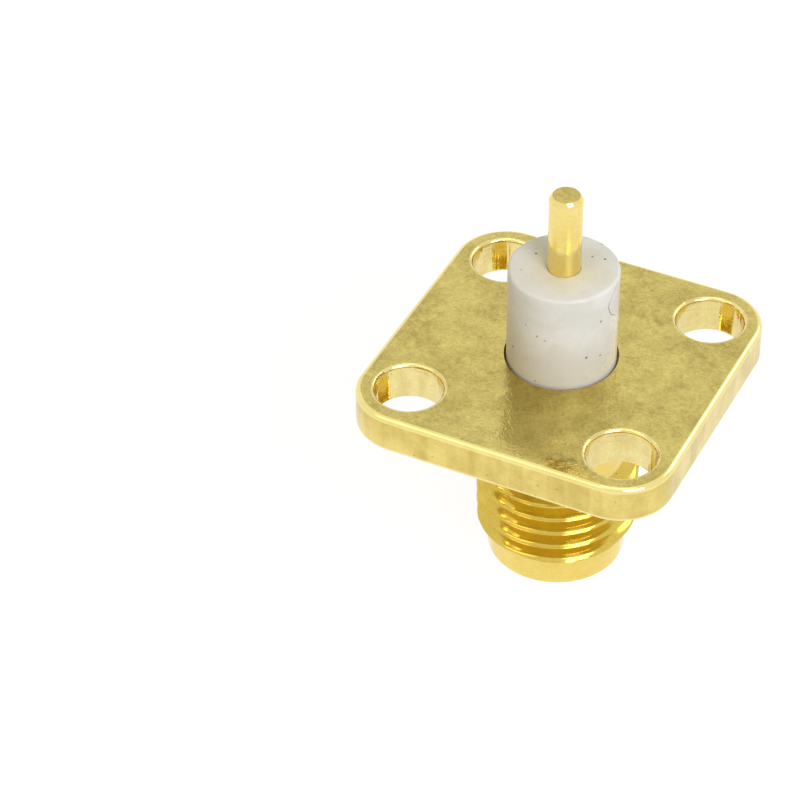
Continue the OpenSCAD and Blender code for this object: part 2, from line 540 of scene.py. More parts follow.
@dataclass(frozen=True)
class Fluoropolymer:
    """Machined white fluoropolymer: waxy, a little translucent, with trapped specks."""

    name: str = "white_fluoropolymer"
    clean: Colour = (0.88, 0.885, 0.885)
    shaded: Colour = (0.80, 0.80, 0.785)
    # Painted shade: the rod darkens to this colour towards the flange, between the two heights on the next
    # line.
    painted_base_shade: Colour = (0.72, 0.71, 0.705)
    painted_base_shade_mm: tuple[float, float] = (12.1, 9.6)
    # Painted shade and a painted reflection of the gold pin: the rod's face takes this darker, warmer colour
    # within these radii of the pin.
    pin_shade_and_reflection: Colour = (0.78, 0.72, 0.55)
    pin_shade_and_reflection_mm: tuple[float, float] = (1.9, 0.7)
    speck: Colour = (0.12, 0.10, 0.08)
    # How strongly the painted shade and the painted reflection round the pin show.
    pin_shade_and_reflection_strength: float = 0.5
    speck_strength: float = 0.85
    roughness: float = 0.25
    roughness_spread: float = 0.14
    ring_depth_mm: float = 0.0014
    scratch_depth: float = 0.6
    hair_angle: float = 0.0
    hair_bow: float = -0.3
    hair_span_mm: tuple[float, float] = (12.0, 13.5)
    hair_sway: float = 0.12
    hair_sway_scale: float = 2.5
    hair_half_width: tuple[float, float] = (0.016, 0.006)
    hair_end: float = 0.04
    hair_strength: float = 0.7
    glow: float = 0.6
    glow_depth_mm: float = 0.35
    glow_radius: Colour = (1.0, 0.95, 0.9)
    ior: float = 1.36

    def material(self, effects: Effects) -> bpy.types.Material:
        """Builds the material.

        Args:
            effects: The shared shader groups.

        Returns:
            A new node material.
        """
        surface = Surface(self.name)
        graph, shader, place = surface.graph, surface.shader, surface.place
        marks = effects.handling.place(
            graph, {"Position": place, "Cloud Scale": 0.9, "Pit Scale": 2.5, "Pit Size": 0.2}
        ).outputs
        rings = effects.turned.place(graph, {"Position": place, "Scale": 9.0}).outputs["Rings"]

        colour = graph.mix(marks["Cloud"], self.clean, self.shaded)
        # Painted shade: the rod turns darker, in patches, towards where it enters the flange.
        low = graph.ramp(graph.parts(place)[2], *self.painted_base_shade_mm)
        patchy_base_shade = graph.math("MULTIPLY_ADD", graph.times(low, marks["Mottle"]), 0.5, low, clamp=True)
        colour = graph.mix(patchy_base_shade, colour, self.painted_base_shade)
        # Painted shade and a painted reflection of the gold pin, round the pin's base.
        across = graph.distance(graph.stretch(place, 1.0, 1.0, 0.0), (0.0, 0.0, 0.0))
        pin_shade_and_reflection_mask = graph.times(graph.ramp(across, *self.pin_shade_and_reflection_mm), self.pin_shade_and_reflection_strength)
        colour = graph.mix(pin_shade_and_reflection_mask, colour, self.pin_shade_and_reflection)
        specks = graph.times(marks["Pits"], self.speck_strength)
        specks = graph.math("MAXIMUM", specks, self.hair(graph, place))
        graph.feed(shader["Base Color"], graph.mix(specks, colour, self.speck))
        rough = graph.math("MULTIPLY_ADD", marks["Cloud"], self.roughness_spread, self.roughness)
        graph.feed(shader["Roughness"], rough)
        height = graph.math("MULTIPLY_ADD", marks["Scratches"], -self.scratch_depth, rings)
        graph.feed(shader["Normal"], graph.bump(height, self.ring_depth_mm))
        shader["Subsurface Weight"].default_value = self.glow
        shader["Subsurface Scale"].default_value = self.glow_depth_mm * MM
        shader["Subsurface Radius"].default_value = self.glow_radius
        shader["IOR"].default_value = self.ior
        return surface.material

    def hair(self, graph: Graph, place: bpy.types.NodeSocket) -> bpy.types.NodeSocket:
        """Adds a fine curved mark that runs down one side of the rod.

        Args:
            graph: The material's graph.
            place: The position on the part, in millimetres.

        Returns:
            A mask of the mark.
        """
        x, y, z = graph.parts(place)
        angle = graph.math("ARCTAN2", y, x)
        low, high = self.hair_span_mm
        along = graph.math("DIVIDE", graph.minus(z, low), high - low)
        bow = graph.math("SINE", graph.times(along, math.pi))
        course = graph.add("ShaderNodeCombineXYZ", {2: z}).outputs[0]
        wiggle = graph.noise(course, self.hair_sway_scale, detail=2.0)
        sway = graph.math("MULTIPLY_ADD", bow, self.hair_bow, graph.times(wiggle, self.hair_sway))
        line = graph.ramp(graph.gap(graph.minus(angle, self.hair_angle), sway), *self.hair_half_width)
        begun = graph.ramp(along, 0.0, self.hair_end)
        not_over = graph.ramp(along, 1.0, 1.0 - self.hair_end)
        return graph.times(graph.times(line, graph.times(begun, not_over)), self.hair_strength)


SATIN_FACE = Plating(
    "gold_satin_face", Machining.TUMBLED, clean=(0.80, 0.66, 0.21), dull=(0.41, 0.32, 0.085),
    roughness=0.13, roughness_spread=0.12, grain_scale=6.5, grain_depth_mm=0.008,
    wave_scale=1.2, wave_depth_mm=0.014, scratch_depth_mm=0.001, scratch_shine=0.1,
    mottle=0.48, smudge_mm=(2.5, -5.9, 9.5),
)
MILLED_EDGE = Plating(
    "gold_milled_edge", Machining.MILLED, clean=(0.86, 0.70, 0.23), dull=(0.52, 0.37, 0.085),
    roughness=0.12, roughness_spread=0.08, grain_scale=5.0, grain_depth_mm=0.004,
    wave_depth_mm=0.008, scratch_depth_mm=0.0005, scratch_shine=0.06, mottle=0.16,
)
DRILLED_HOLE = Plating(
    "gold_drilled_hole", Machining.DRILLED, clean=(0.90, 0.78, 0.35), dull=(0.68, 0.54, 0.20),
    roughness=0.08, roughness_spread=0.05, grain_scale=5.0, grain_depth_mm=0.002,
    wave_depth_mm=0.012, scratch_depth_mm=0.0003, scratch_shine=0.1,
)
# Painted shade: the thread's gold is darker and more amber than the other turned gold, for the shade under
# the flange.
SHADED_THREAD_GOLD = Plating(
    "gold_thread_painted_shade", Machining.TURNED, clean=(0.76, 0.565, 0.105), dull=(0.60, 0.42, 0.065),
    roughness=0.10, roughness_spread=0.05, grain_scale=14.0, grain_depth_mm=0.0005,
    scratch_depth_mm=0.0002, scratch_shine=0.1,
)
# Painted shade: the countersink round the insulator is a dark gold, for the shade in the narrow gap there.
SHADED_BORE_GOLD = Plating(
    "gold_bore_painted_shade", Machining.TURNED, clean=(0.40, 0.30, 0.10), dull=(0.22, 0.16, 0.05),
    roughness=0.3, roughness_spread=0.2,
)
BRIGHT_TURNED = Plating(
    "gold_bright_turned", Machining.TURNED, clean=(0.90, 0.72, 0.22), dull=(0.78, 0.58, 0.13),
    roughness=0.08, roughness_spread=0.06, grain_scale=14.0, grain_depth_mm=0.0004,
    scratch_depth_mm=0.0003, scratch_shine=0.1,
)
POLISHED_ROUND = Plating(
    "gold_polished_round", Machining.TUMBLED, clean=(0.93, 0.80, 0.34), dull=(0.84, 0.69, 0.24),
    roughness=0.06, roughness_spread=0.04, grain_scale=3.0, grain_depth_mm=0.0008,
    wave_scale=1.2, wave_depth_mm=0.004, scratch_depth_mm=0.0002, scratch_shine=0.0,
    stain_strength=0.2, pit_size=0.06,
)
CONTACT_GOLD = Plating(
    "gold_contact", Machining.TURNED, clean=(0.93, 0.76, 0.29), dull=(0.80, 0.61, 0.16),
    roughness=0.10, roughness_spread=0.07, grain_scale=16.0, grain_depth_mm=0.0004,
    scratch_depth_mm=0.0002, scratch_shine=0.1,
)
INSULATOR_WHITE = Fluoropolymer()


# --------------------------------------------------------------------------
# Mesh building, in millimetres
# --------------------------------------------------------------------------


def arc(centre: Point, radius: float, start: float, end: float, steps: int) -> list[Point]:
    """Points along an arc.

    Args:
        centre: The arc's centre.
        radius: Its radius.
        start: The angle of its first point, in degrees.
        end: The angle of its last point, in degrees.
        steps: How many pieces it is cut into.

    Returns:
        The steps + 1 points, ends included.
    """
    angles = (math.radians(start + (end - start) * i / steps) for i in range(steps + 1))
    return [(centre[0] + radius * math.cos(a), centre[1] + radius * math.sin(a)) for a in angles]


def rounded_square(half: float, radius: float, steps: int) -> list[Point]:
    """The outline of a square with round corners, counterclockwise.

    Args:
        half: Half its width.
        radius: The radius of its corners.
        steps: How many pieces each corner is cut into.

    Returns:
        The outline's points.
    """
    flat = half - radius
    corners = ((flat, flat), (-flat, flat), (-flat, -flat), (flat, -flat))
    return [
        point
        for i, corner in enumerate(corners)
        for point in arc(corner, radius, 90 * i, 90 * i + 90, steps)
    ]


class SolidMesh:
    """A closed mesh under construction, in millimetres."""

    def __init__(self, segments: int) -> None:
        """Starts an empty mesh.

        Args:
            segments: How many segments go around a full turn.
        """
        self.shape = bmesh.new()
        self.segments = segments

    def loop(self, outline: list[Point], height: float) -> Ring:
        """Adds a level loop of vertices at a height."""
        return [self.shape.verts.new((x, y, height)) for x, y in outline]

    def circle(self, radius: float, height: float, centre: Point = (0.0, 0.0),
               segments: int = 0) -> Ring:
        """Adds a level ring of vertices round a centre."""
        count = segments or self.segments
        turn = (FULL_TURN * i / count for i in range(count))
        points = [(centre[0] + radius * math.cos(a), centre[1] + radius * math.sin(a)) for a in turn]
        return self.loop(points, height)

    def bridge(self, rings: list[Ring], slot: int) -> None:
        """Joins each ring to the next with a band of faces.

        Args:
            rings: Rings with as many vertices each.
            slot: The material slot of the new faces.
        """
        for low, high in zip(rings, rings[1:]):
            count = len(low)
            for i in range(count):
                j = (i + 1) % count
                face = self.shape.faces.new((low[i], low[j], high[j], high[i]))
                face.material_index = slot

    def revolve(self, profile: list[Point], slot: int, centre: Point = (0.0, 0.0),
                segments: int = 0) -> tuple[Ring, Ring]:
        """Turns a profile of (radius, height) points round a vertical axis.

        Args:
            profile: The points, in order.
            slot: The material slot of the new faces.
            centre: Where the axis stands.
            segments: How many segments go round, or 0 for the mesh's own count.

        Returns:
            The first and the last ring.
        """
        rings = [self.circle(r, z, centre, segments) for r, z in profile]
        self.bridge(rings, slot)
        return rings[0], rings[-1]

    def cap(self, ring: Ring, height: float, slot: int) -> None:
        """Closes a ring with a fan round a point on the part's axis."""
        middle = self.shape.verts.new((0.0, 0.0, height))
        for i, vertex in enumerate(ring):
            face = self.shape.faces.new((vertex, ring[(i + 1) % len(ring)], middle))
            face.material_index = slot

    def plate(self, loops: list[Ring], slot: int) -> None:
        """Fills the level area between an outline and the holes in it.

        Args:
            loops: The outline and the holes, all at one height.
            slot: The material slot of the new faces.
        """
        edges = []
        for ring in loops:
            for i, vertex in enumerate(ring):
                pair = (vertex, ring[(i + 1) % len(ring)])
                edges.append(self.shape.edges.get(pair) or self.shape.edges.new(pair))
        made = bmesh.ops.triangle_fill(self.shape, use_beauty=True, use_dissolve=False, edges=edges)
        for item in made["geom"]:
            if isinstance(item, bmesh.types.BMFace):
                item.material_index = slot

    def take(self, mesh: bpy.types.Mesh, slot: int) -> None:
        """Adds another mesh, whose open rims lie on rims of this one."""
        before = len(self.shape.faces)
        self.shape.from_mesh(mesh)
        self.shape.faces.ensure_lookup_table()
        for face in self.shape.faces[before:]:
            face.material_index = slot

    def finish(self, name: str, materials: list[bpy.types.Material],
               sharp_deg: float = 34.0) -> bpy.types.Object:
        """Closes the mesh, turns it to metres and makes it an object.

        Args:
            name: The piece's name.
            materials: Its materials, by slot.
            sharp_deg: Edges that turn by more than this stay sharp.

        Returns:
            The finished object, at the origin.
        """
        bmesh.ops.remove_doubles(self.shape, verts=self.shape.verts, dist=MERGE_MM)
        bmesh.ops.recalc_face_normals(self.shape, faces=self.shape.faces)
        open_edges = sum(1 for edge in self.shape.edges if not edge.is_manifold)
        bmesh.ops.scale(self.shape, vec=(MM, MM, MM), verts=self.shape.verts)
        mesh = bpy.data.meshes.new(name)
        self.shape.to_mesh(mesh)
        self.shape.free()
        for material in materials:
            mesh.materials.append(material)
        mesh.shade_smooth()
        mesh.set_sharp_from_angle(angle=math.radians(sharp_deg))
        piece = bpy.data.objects.new(name, mesh)
        bpy.context.scene.collection.objects.link(piece)
        settle_normals(piece)
        LOG.info("%s: %d faces, %d open edges", name, len(piece.data.polygons), open_edges)
        return piece


def settle_normals(piece: bpy.types.Object) -> None:
    """Lets large flat faces keep their own normals, so that only edges look rounded."""
    modifier = piece.modifiers.new("flat_faces_first", "WEIGHTED_NORMAL")
    modifier.mode = "FACE_AREA"
    modifier.weight = FLAT_FACE_WEIGHT
    modifier.keep_sharp = True
    apply_modifiers(piece)


def apply_modifiers(piece: bpy.types.Object) -> None:
    """Replaces a piece's mesh with its evaluated one and removes its modifiers."""
    graph = bpy.context.evaluated_depsgraph_get()
    finished = bpy.data.meshes.new_from_object(piece.evaluated_get(graph))
    rough = piece.data
    piece.modifiers.clear()
    piece.data = finished
    finished.name = piece.name
    bpy.data.meshes.remove(rough)


# --------------------------------------------------------------------------
# The coupling thread
# --------------------------------------------------------------------------


FLANK_SLOPE = math.tan(math.radians(30))
THREAD_SIZES = {
    "Start": "start", "End": "end", "Major Radius": "major_r", "Root Radius": "root_r",
    "Start Radius": "start_r", "Pitch": "pitch", "Crest Width": "crest_width", "Edge Round": "edge_round",
}
THREAD_COUNTS = {"Segments": "segments", "Rows Per Turn": "rows_per_turn"}


@dataclass
class CouplingThread:
    """The right-hand 60 degree thread of the barrel, as a Geometry Nodes tree.

    The tree bends a grid round the axis. Its rows follow the helix, so that
    crests and roots are clean lines, and it runs out into the chamfer cones at
    both ends of the stretch.
    """

    start: float
    end: float
    major_r: float
    root_r: float
    start_r: float
    pitch: float = 25.4 / 36
    crest_width: float = 0.075
    edge_round: float = 0.18
    segments: int = 192
    rows_per_turn: int = 24

    def tree(self) -> bpy.types.GeometryNodeTree:
        """Builds the node tree with named inputs for every size.

        Returns:
            The geometry node tree.
        """
        tree = bpy.data.node_groups.new("helical_thread", "GeometryNodeTree")
        for name in THREAD_SIZES:
            tree.interface.new_socket(name, in_out="INPUT", socket_type="NodeSocketFloat")
        for name in THREAD_COUNTS:
            tree.interface.new_socket(name, in_out="INPUT", socket_type="NodeSocketInt")
        tree.interface.new_socket("Material", in_out="INPUT", socket_type="NodeSocketMaterial")
        tree.interface.new_socket("Geometry", in_out="OUTPUT", socket_type="NodeSocketGeometry")
        graph = Graph(tree)
        size = tree.nodes.new("NodeGroupInput").outputs
        sink = tree.nodes.new("NodeGroupOutput")

        length = graph.minus(size["End"], size["Start"])
        turns = graph.math("DIVIDE", graph.plus(length, size["Pitch"]), size["Pitch"])
        rows = graph.math("CEIL", graph.times(turns, size["Rows Per Turn"]))
        grid = graph.add(
            "GeometryNodeMeshGrid",
            {"Size X": 1.0, "Size Y": 1.0,
             "Vertices X": graph.plus(size["Segments"], 1.0), "Vertices Y": graph.plus(rows, 1.0)},
        )
        spot = graph.parts(graph.add("GeometryNodeInputPosition").outputs[0])
        turn = graph.plus(spot[0], 0.5)
        row = graph.math("ROUND", graph.times(graph.plus(spot[1], 0.5), rows))
        step = graph.math("DIVIDE", row, size["Rows Per Turn"])

        climb = graph.times(graph.plus(step, graph.minus(turn, 1.0)), size["Pitch"])
        not_below = graph.math("MAXIMUM", graph.plus(size["Start"], climb), size["Start"])
        height = graph.math("MINIMUM", not_below, size["End"])
        radius = self.radius(graph, size, step, height)

        angle = graph.times(turn, FULL_TURN)
        x, y = (graph.times(radius, graph.math(way, angle)) for way in ("COSINE", "SINE"))
        position = graph.add("ShaderNodeCombineXYZ", {0: x, 1: y, 2: height})
        bent = graph.add(
            "GeometryNodeSetPosition", {"Geometry": grid.outputs["Mesh"], "Position": position.outputs[0]}
        )
        merged = graph.add(
            "GeometryNodeMergeByDistance", {"Geometry": bent.outputs[0], "Distance": MERGE_MM}
        )
        real = graph.add("GeometryNodeRealizeInstances", {"Geometry": merged.outputs[0]})
        dressed = graph.add(
            "GeometryNodeSetMaterial", {"Geometry": real.outputs[0], "Material": size["Material"]}
        )
        graph.feed(sink.inputs["Geometry"], dressed.outputs[0])
        return tree

    @staticmethod
    def radius(graph: Graph, size: object, step: bpy.types.NodeSocket,
               height: bpy.types.NodeSocket) -> bpy.types.NodeSocket:
        """Adds the nodes that give the thread's radius.

        Args:
            graph: The tree's graph.
            size: The group's input sockets.
            step: How many turns a row lies above the first one.
            height: The height of the point.

        Returns:
            The radius, between the root and the crest and inside both end cones.
        """
        from_root = graph.times(graph.gap(graph.math("FRACT", step), 0.5), size["Pitch"])
        flank = graph.times(graph.minus(size["Major Radius"], size["Root Radius"]), FLANK_SLOPE)
        half_pitch = graph.times(size["Pitch"], 0.5)
        half_crest = graph.times(size["Crest Width"], 0.5)
        half_root = graph.minus(graph.minus(half_pitch, half_crest), flank)
        rise = graph.math("DIVIDE", graph.minus(from_root, half_root), FLANK_SLOPE)
        side = graph.plus(size["Root Radius"], rise)
        above = graph.math("SMOOTH_MAX", side, size["Root Radius"], size["Edge Round"])
        form = graph.math("SMOOTH_MIN", above, size["Major Radius"], size["Edge Round"])
        run_in = graph.plus(size["Start Radius"], graph.minus(height, size["Start"]))
        run_out = graph.plus(size["Root Radius"], graph.minus(size["End"], height))
        return graph.math("MINIMUM", form, graph.math("MINIMUM", run_in, run_out))

    def mesh(self, material: bpy.types.Material) -> bpy.types.Mesh:
        """Runs the tree and returns its result as a plain mesh, in millimetres.

        Args:
            material: The thread's finish.

        Returns:
            An open tube whose rims are circles of the root radius.
        """
        carrier = bpy.data.objects.new("thread_carrier", bpy.data.meshes.new("thread_carrier"))
        bpy.context.scene.collection.objects.link(carrier)
        modifier = carrier.modifiers.new("helical_thread", "NODES")
        tree = self.tree()
        modifier.node_group = tree
        values = {name: getattr(self, size) for name, size in (THREAD_SIZES | THREAD_COUNTS).items()}
        values["Material"] = material
        for item in tree.interface.items_tree:
            if item.in_out == "INPUT":
                modifier[item.identifier] = values[item.name]
        graph = bpy.context.evaluated_depsgraph_get()
        mesh = bpy.data.meshes.new_from_object(carrier.evaluated_get(graph))
        bpy.data.objects.remove(carrier)
        return mesh


# --------------------------------------------------------------------------
# The three pieces
# --------------------------------------------------------------------------


@dataclass
class JackBody:
    """The turned and milled body: square flange, neck, thread, nose and bore."""

    width: float
    height: float
    flange_t: float = 1.6
    corner_r: float = 2.1
    edge_round: float = 0.2
    roll_deg: float = 3.5
    roll_radius: float = 3.4
    hole_inset: float = 2.03
    hole_r: float = 1.3
    hole_round: float = 0.14
    neck_r: float = 2.75
    neck_len: float = 3.0
    thread_r: float = 3.175
    thread_len: float = 3.8
    nose_r: float = 2.7
    rim_round: float = 0.1
    mouth_r: float = 2.3
    mouth_depth: float = 1.9
    mouth_round: float = 0.125
    floor_fillet: float = 0.06
    bore_r: float = 2.11
    bore_break: float = 0.08
    bore_break_depth: float = 0.1
    round_steps: int = 6
    roll_steps: int = 4
    hole_segments: int = 96
    corner_steps: int = 28
    segments: int = 192
    materials: list[bpy.types.Material] = field(default_factory=list)

    FACE, EDGE, TURNED, ROUND, HOLE, THREAD, BORE = range(7)

    def build(self, effects: Effects) -> bpy.types.Object:
        """Builds the whole body as one closed mesh.

        Args:
            effects: The shared shader groups.

        Returns:
            The body.
        """
        # The thread's and the countersink's finishes carry painted shade.
        finishes = (
            SATIN_FACE, MILLED_EDGE, BRIGHT_TURNED, POLISHED_ROUND, DRILLED_HOLE, SHADED_THREAD_GOLD, SHADED_BORE_GOLD
        )
        self.materials = [finish.material(effects) for finish in finishes]
        solid = SolidMesh(self.segments)
        back_z, front_z = self.height, self.height - self.flange_t
        break_z = back_z - self.bore_break_depth
        # The countersink round the insulator, in the finish with painted shade.
        bore_rim, _ = solid.revolve(
            [(self.bore_r + self.bore_break, back_z), (self.bore_r, break_z)], self.BORE
        )
        solid.revolve(self.inner_profile(break_z), self.TURNED)
        _, neck_end = solid.revolve(
            [(self.neck_r, front_z - self.neck_len), (self.neck_r, front_z)], self.TURNED
        )
        thread = CouplingThread(
            start=front_z - self.neck_len - self.thread_len, end=front_z - self.neck_len,
            major_r=self.thread_r, root_r=self.neck_r, start_r=self.nose_r, segments=self.segments,
        )
        tube = thread.mesh(self.materials[self.THREAD])
        solid.take(tube, self.THREAD)
        bpy.data.meshes.remove(tube)
        self.add_flange(solid, front_z, back_z, neck_end, bore_rim)
        return solid.finish("jack_body", self.materials)

    def inner_profile(self, top_z: float) -> list[Point]:
        """The revolved outline from the top of the bore's wall to the thread's start.

        Args:
            top_z: The height at which the bore's wall ends in its countersink.

        Returns:
            Points of (radius, height): bore, counterbore, rim and nose.
        """
        fillet = self.floor_fillet
        profile = [(self.bore_r, top_z), (self.bore_r, self.mouth_depth)]
        corner = (self.mouth_r - fillet, self.mouth_depth - fillet)
        profile += arc(corner, fillet, 90, 0, self.round_steps)
        profile += [(self.mouth_r, self.mouth_round), (self.mouth_r + self.mouth_round, 0.0)]
        rim = (self.nose_r - self.rim_round, self.rim_round)
        profile += arc(rim, self.rim_round, -90, 0, self.round_steps)
        profile += [(self.nose_r, self.height - self.flange_t - self.neck_len - self.thread_len)]
        return profile

    def add_flange(self, solid: SolidMesh, front_z: float, back_z: float,
                   neck_rim: Ring, bore_rim: Ring) -> None:
        """Adds the square flange with its round edges and its four holes.

        Args:
            solid: The mesh to add to.
            front_z: The height of the face towards the thread.
            back_z: The height of the face towards the solder pin.
            neck_rim: The ring where the neck meets the front face.
            bore_rim: The ring where the bore opens in the back face.
        """
        half = self.width / 2
        edge = self.edge_profile()
        levels = [(inset, front_z + drop) for inset, drop in edge]
        levels += [(inset, back_z - drop) for inset, drop in reversed(edge)]
        sides = [
            solid.loop(rounded_square(half - inset, self.corner_r - inset, self.corner_steps), z)
            for inset, z in levels
        ]
        wall = len(edge) - 1
        roll = self.roll_steps
        solid.bridge(sides[: roll + 1], self.FACE)
        solid.bridge(sides[roll : wall + 1], self.ROUND)
        solid.bridge(sides[wall : wall + 2], self.EDGE)
        solid.bridge(sides[wall + 1 : len(sides) - roll], self.ROUND)
        solid.bridge(sides[len(sides) - roll - 1 :], self.FACE)
        fronts, backs = [sides[0], neck_rim], [sides[-1], bore_rim]
        reach = half - self.hole_inset
        for x in (-reach, reach):
            for y in (-reach, reach):
                front_rim, back_rim = solid.revolve(
                    self.hole_profile(front_z, back_z), self.HOLE, (x, y), self.hole_segments
                )
                fronts.append(front_rim)
                backs.append(back_rim)
        solid.plate(fronts, self.FACE)
        solid.plate(backs, self.FACE)

    def edge_profile(self) -> list[Point]:
        """The section of the flange's edge, from the flat face out to the side.

        Returns:
            Points of (distance in from the side, drop below the face): a long
            shallow roll first, as tumbling leaves it, and then the tight edge.
        """
        roll, edge = math.radians(self.roll_deg), self.edge_round
        sink = self.roll_radius * (1 - math.cos(roll))
        reach = self.roll_radius * math.sin(roll)
        start = edge * (1 - math.sin(roll)) + reach
        shallow = [roll * i / self.roll_steps for i in range(self.roll_steps + 1)]
        points = [
            (start - self.roll_radius * math.sin(a), self.roll_radius * (1 - math.cos(a))) for a in shallow
        ]
        base = sink - edge * (1 - math.cos(roll))
        tight = [roll + (math.pi / 2 - roll) * i / self.round_steps for i in range(1, self.round_steps + 1)]
        points += [(edge * (1 - math.sin(a)), base + edge * (1 - math.cos(a))) for a in tight]
        return points

    def hole_profile(self, front_z: float, back_z: float) -> list[Point]:
        """The wall of one screw hole, with both rims rounded."""
        edge = self.hole_round
        low = arc((self.hole_r + edge, front_z + edge), edge, 270, 180, self.round_steps)
        high = arc((self.hole_r + edge, back_z - edge), edge, 180, 90, self.round_steps)
        return low + high


@dataclass(frozen=True)
class Barb:
    """The barb that holds the contact in the insulator, and the shafts on both its sides."""

    radius: float = 0.8
    length: float = 0.6
    cover: float = 0.1
    front_r: float = 0.635
    pin_r: float = 0.635

    def span(self, insulator_end: float) -> Point:
        """The heights between which the barb lies, low one first."""
        high = insulator_end - self.cover
        return high - self.length, high


@dataclass
class InsulatorRod:
    """The white insulator, from the bottom of the counterbore to its free end."""

    start: float
    end: float
    outer_r: float
    end_round: float = 0.12
    face_round: float = 0.05
    barb: Barb = Barb()
    clearance: float = 0.01
    segments: int = 160
    round_steps: int = 8

    def build(self, effects: Effects) -> bpy.types.Object:
        """Builds the rod with its bore.

        Args:
            effects: The shared shader groups.

        Returns:
            The insulator.
        """
        solid = SolidMesh(self.segments)
        barb_start, barb_end = self.barb.span(self.end)
        wide, narrow = self.barb.front_r + self.clearance, self.barb.pin_r + self.clearance
        profile = [(wide, self.start)]
        low = (self.outer_r - self.face_round, self.start + self.face_round)
        profile += arc(low, self.face_round, -90, 0, self.round_steps)
        high = (self.outer_r - self.end_round, self.end - self.end_round)
        profile += arc(high, self.end_round, 0, 90, self.round_steps)
        profile += [(narrow, self.end), (narrow, barb_end)]
        profile += [(self.barb.radius + self.clearance, barb_start), (wide, barb_start), (wide, self.start)]
        solid.revolve(profile, 0)
        return solid.finish("insulator_rod", [INSULATOR_WHITE.material(effects)])


@dataclass
class CentreContact:
    """The turned contact: mating pin with its nib, barbed core and solder pin."""

    tip: float
    end: float
    face: float
    insulator_end: float
    nib_r: float = 0.08
    nib_len: float = 0.2
    cone_len: float = 0.42
    cone_break: float = 0.02
    mating_r: float = 0.455
    barb: Barb = Barb()
    pin_holds: tuple[float, float] = (0.02, 0.04)
    end_inset: float = 0.12
    end_drop: float = 0.2
    end_bulge: tuple[float, float] = (0.0072, 0.004)
    end_band: float = 0.01
    dimple_r: float = 0.15
    dimple_floor_r: float = 0.105
    dimple_depth: float = 0.006
    round_steps: int = 8
    nib_steps: int = 6
    segments: int = 128

    def build(self, effects: Effects) -> bpy.types.Object:
        """Builds the contact.

        Args:
            effects: The shared shader groups.

        Returns:
            The contact.
        """
        solid = SolidMesh(self.segments)
        profile = self.mating_profile() + self.held_profile() + self.end_profile()
        first, last = solid.revolve(profile, 0)
        solid.cap(first, self.tip, 0)
        solid.cap(last, self.end - self.dimple_depth, 0)
        for face in solid.shape.faces:
            if face.calc_center_median().z > self.end - self.end_band:
                face.material_index = 1
        finishes = [CONTACT_GOLD.material(effects), SATIN_FACE.material(effects)]
        return solid.finish("centre_contact_pin", finishes, sharp_deg=24.0)

    def mating_profile(self) -> list[Point]:
        """The mating pin: its nib, its cone and its wall up to the insulator."""
        cone_start, cone_end = self.tip + self.nib_len, self.tip + self.nib_len + self.cone_len
        soft = self.cone_break
        profile = arc((0.0, self.tip + self.nib_r), self.nib_r, -80, 0, self.nib_steps)
        profile += [(self.nib_r, cone_start), (self.mating_r - soft, cone_end - soft)]
        return profile + [(self.mating_r, cone_end + soft), (self.mating_r, self.face)]

    def held_profile(self) -> list[Point]:
        """The shaft and the barb inside the insulator, and the solder pin's straight wall."""
        barb = self.barb
        barb_start, barb_end = barb.span(self.insulator_end)
        low, high = barb_end + self.pin_holds[0], self.end - self.end_drop - self.pin_holds[1]
        shaft = [(barb.front_r, self.face), (barb.front_r, barb_start), (barb.radius, barb_start)]
        return shaft + [(barb.pin_r, barb_end), (barb.pin_r, low), (barb.pin_r, high)]

    def end_profile(self) -> list[Point]:
        """The solder pin's bulging chamfer and the shallow dimple in its end."""
        shoulder = self.end - self.end_drop
        points = []
        for i in range(self.round_steps + 1):
            part = i / self.round_steps
            swell = math.sin(math.pi * part)
            radius = self.barb.pin_r - self.end_inset * part + self.end_bulge[0] * swell
            points.append((radius, shoulder + self.end_drop * part + self.end_bulge[1] * swell))
        return points + [(self.dimple_r, self.end), (self.dimple_floor_r, self.end - self.dimple_depth)]


# --------------------------------------------------------------------------
# The studio
# --------------------------------------------------------------------------


def opaque(level: float) -> tuple[float, float, float, float]:
    """A grey of this level, with its alpha."""
    return level, level, level, 1.0


WHITE = opaque(1.0)


def seen(graph: Graph) -> bpy.types.NodeSocket:
    """Adds 1 where a ray shows a surface, directly or in metal or glass, and 0 where it lights one."""
    rays = graph.add("ShaderNodeLightPath").outputs
    mirrored = graph.math("MAXIMUM", rays["Is Camera Ray"], rays["Is Glossy Ray"])
    return graph.math("MAXIMUM", mirrored, rays["Is Transmission Ray"])


@dataclass(frozen=True)
class SoftBox:
    """A square soft lamp, placed by the direction that it shines from."""

    name: str
    azimuth: float
    elevation: float
    distance: float
    size: float
    watts: float
    colour: Colour = (1.0, 1.0, 1.0)

    def build(self, target: Vector) -> None:
        """Makes the lamp and aims it at the target."""
        data = bpy.data.lights.new(self.name, "AREA")
        data.shape, data.size, data.energy, data.color = "SQUARE", self.size, self.watts, self.colour
        lamp = bpy.data.objects.new(self.name, data)
        back = direction(self.azimuth, self.elevation)
        lamp.location = target + back * self.distance
        lamp.rotation_euler = back.to_track_quat("Z", "Y").to_euler()
        bpy.context.scene.collection.objects.link(lamp)


def direction(azimuth: float, elevation: float) -> Vector:
    """The direction from the object to a viewer, from its azimuth and elevation in degrees."""
    a, e = math.radians(azimuth), math.radians(elevation)
    return Vector((math.sin(a) * math.cos(e), -math.cos(a) * math.cos(e), math.sin(e)))


